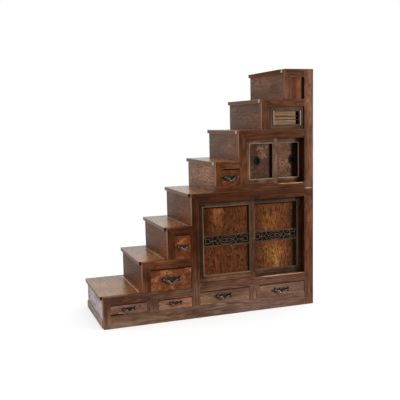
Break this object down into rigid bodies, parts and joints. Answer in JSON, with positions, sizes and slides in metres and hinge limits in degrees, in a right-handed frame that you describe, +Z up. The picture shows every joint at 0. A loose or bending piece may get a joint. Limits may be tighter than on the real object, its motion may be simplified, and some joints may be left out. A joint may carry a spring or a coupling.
{
  "type": "step chest tansu",
  "caption": "Step-shaped chest in two stacked sections, with drawers, sliding doors, a barred window door and iron bail pulls under the treads.",
  "frame": {"origin": "middle of the bounding box's footprint, on the floor", "axes": "+Z up, +X along the front towards the tall end, +Y from the front to the back"},
  "size_m": [1.663, 0.6437, 1.8],
  "materials": {
    "frame_wood": "rubbed lacquer",
    "tread_wood": "rubbed lacquer, worn",
    "side_wood": "rubbed lacquer",
    "inner_wood": "bare",
    "iron": "blackened, rubbed bright on the edges",
    "drawer_wood": "rubbed lacquer over figured wood",
    "panel_wood": "lacquer over burr wood",
    "shutter_wood": "bare",
    "door_wood": "dark lacquer, worn on the arrises"
  },
  "bodies": {
    "lower_chest": {"step_1_tread": "tread_wood", "step_2_tread": "tread_wood", "step_3_tread": "tread_wood", "step_4_tread": "tread_wood", "lower_posts": "frame_wood", "lower_rails": "frame_wood", "lower_risers": "side_wood", "lower_side_sill": "frame_wood", "lower_end_panel": "side_wood", "lower_back_boards": "inner_wood", "lower_floors": "inner_wood", "lower_partitions": "inner_wood", "lower_drawer_guides": "inner_wood"},
    "upper_chest": {"step_5_tread": "tread_wood", "step_6_tread": "tread_wood", "step_7_tread": "tread_wood", "step_8_tread": "tread_wood", "upper_posts": "frame_wood", "upper_rails": "frame_wood", "upper_risers": "side_wood", "upper_end_panel": "side_wood", "upper_back_boards": "inner_wood", "upper_floors": "inner_wood", "upper_partitions": "inner_wood"},
    "drawer_1": {"drawer_1": "drawer_wood", "drawer_1_plates": "iron"},
    "bail_1": {"drawer_1_bail": "iron"},
    "drawer_2": {"drawer_2": "drawer_wood", "drawer_2_plates": "iron"},
    "bail_2": {"drawer_2_bail": "iron"},
    "drawer_3": {"drawer_3": "drawer_wood", "drawer_3_plates": "iron"},
    "bail_3": {"drawer_3_bail": "iron"},
    "drawer_4": {"drawer_4": "drawer_wood", "drawer_4_plates": "iron"},
    "bail_4": {"drawer_4_bail": "iron"},
    "drawer_5": {"drawer_5": "drawer_wood", "drawer_5_plates": "iron"},
    "bail_5": {"drawer_5_bail": "iron"},
    "drawer_6": {"drawer_6": "drawer_wood", "drawer_6_plates": "iron"},
    "bail_6": {"drawer_6_bail": "iron"},
    "drawer_7": {"drawer_7": "drawer_wood", "drawer_7_plates": "iron"},
    "bail_7": {"drawer_7_bail": "iron"},
    "left_door": {"left_door_frame": "door_wood", "left_door_panels": "panel_wood", "left_door_band": "door_wood"},
    "right_door": {"right_door_frame": "door_wood", "right_door_panels": "panel_wood", "right_door_band": "door_wood"},
    "small_left_door": {"small_left_door_frame": "door_wood", "small_left_door_panel": "panel_wood", "small_left_door_pull": "iron"},
    "small_right_door": {"small_right_door_frame": "door_wood", "small_right_door_panel": "panel_wood", "small_right_door_pull": "iron"},
    "window_door": {"window_door_frame": "door_wood"},
    "window_shutter": {"window_shutter": "shutter_wood"},
    "top_door": {"top_door": "drawer_wood"}
  },
  "joints": [
    {"name": "upper_chest_lift", "type": "slide", "parent": "lower_chest", "child": "upper_chest", "axis": [0, 0, 1], "range_m": [0, 0.1]},
    {"name": "drawer_1_slide", "type": "slide", "parent": "lower_chest", "child": "drawer_1", "axis": [0, -1, 0], "range_m": [0, 0.4]},
    {"name": "bail_1_swing", "type": "hinge", "parent": "drawer_1", "child": "bail_1", "pos_m": [-0.6315, -0.31614, 0.131], "axis": [-1, 0, 0], "range_deg": [-10, 80]},
    {"name": "drawer_2_slide", "type": "slide", "parent": "lower_chest", "child": "drawer_2", "axis": [0, -1, 0], "range_m": [0, 0.4]},
    {"name": "bail_2_swing", "type": "hinge", "parent": "drawer_2", "child": "bail_2", "pos_m": [-0.2895, -0.31614, 0.133], "axis": [-1, 0, 0], "range_deg": [-10, 80]},
    {"name": "drawer_3_slide", "type": "slide", "parent": "lower_chest", "child": "drawer_3", "axis": [0, -1, 0], "range_m": [0, 0.4]},
    {"name": "bail_3_swing", "type": "hinge", "parent": "drawer_3", "child": "bail_3", "pos_m": [-0.3145, -0.31614, 0.311], "axis": [-1, 0, 0], "range_deg": [-10, 80]},
    {"name": "drawer_4_slide", "type": "slide", "parent": "lower_chest", "child": "drawer_4", "axis": [0, -1, 0], "range_m": [0, 0.4]},
    {"name": "bail_4_swing", "type": "hinge", "parent": "drawer_4", "child": "bail_4", "pos_m": [-0.2205, -0.31614, 0.542], "axis": [-1, 0, 0], "range_deg": [-10, 80]},
    {"name": "drawer_5_slide", "type": "slide", "parent": "lower_chest", "child": "drawer_5", "axis": [0, -1, 0], "range_m": [0, 0.4]},
    {"name": "bail_5_swing", "type": "hinge", "parent": "drawer_5", "child": "bail_5", "pos_m": [0.0875, -0.31614, 0.146], "axis": [-1, 0, 0], "range_deg": [-10, 80]},
    {"name": "drawer_6_slide", "type": "slide", "parent": "lower_chest", "child": "drawer_6", "axis": [0, -1, 0], "range_m": [0, 0.4]},
    {"name": "bail_6_swing", "type": "hinge", "parent": "drawer_6", "child": "bail_6", "pos_m": [0.5595, -0.31614, 0.14], "axis": [-1, 0, 0], "range_deg": [-10, 80]},
    {"name": "drawer_7_slide", "type": "slide", "parent": "upper_chest", "child": "drawer_7", "axis": [0, -1, 0], "range_m": [0, 0.4]},
    {"name": "bail_7_swing", "type": "hinge", "parent": "drawer_7", "child": "bail_7", "pos_m": [0.1555, -0.31614, 1.019], "axis": [-1, 0, 0], "range_deg": [-10, 80]},
    {"name": "left_door_slide", "type": "slide", "parent": "lower_chest", "child": "left_door", "axis": [1, 0, 0], "range_m": [0, 0.405]},
    {"name": "right_door_slide", "type": "slide", "parent": "lower_chest", "child": "right_door", "axis": [-1, 0, 0], "range_m": [0, 0.405]},
    {"name": "small_left_door_slide", "type": "slide", "parent": "upper_chest", "child": "small_left_door", "axis": [1, 0, 0], "range_m": [0, 0.21]},
    {"name": "small_right_door_slide", "type": "slide", "parent": "upper_chest", "child": "small_right_door", "axis": [-1, 0, 0], "range_m": [0, 0.21]},
    {"name": "window_door_lift", "type": "slide", "parent": "upper_chest", "child": "window_door", "axis": [0, 0, 1], "range_m": [0, 0.0028]},
    {"name": "window_shutter_slide", "type": "slide", "parent": "window_door", "child": "window_shutter", "axis": [1, 0, 0], "range_m": [-0.012, 0.05]},
    {"name": "top_door_lift", "type": "slide", "parent": "upper_chest", "child": "top_door", "axis": [0, 0, 1], "range_m": [0, 0.0028]}
  ]
}
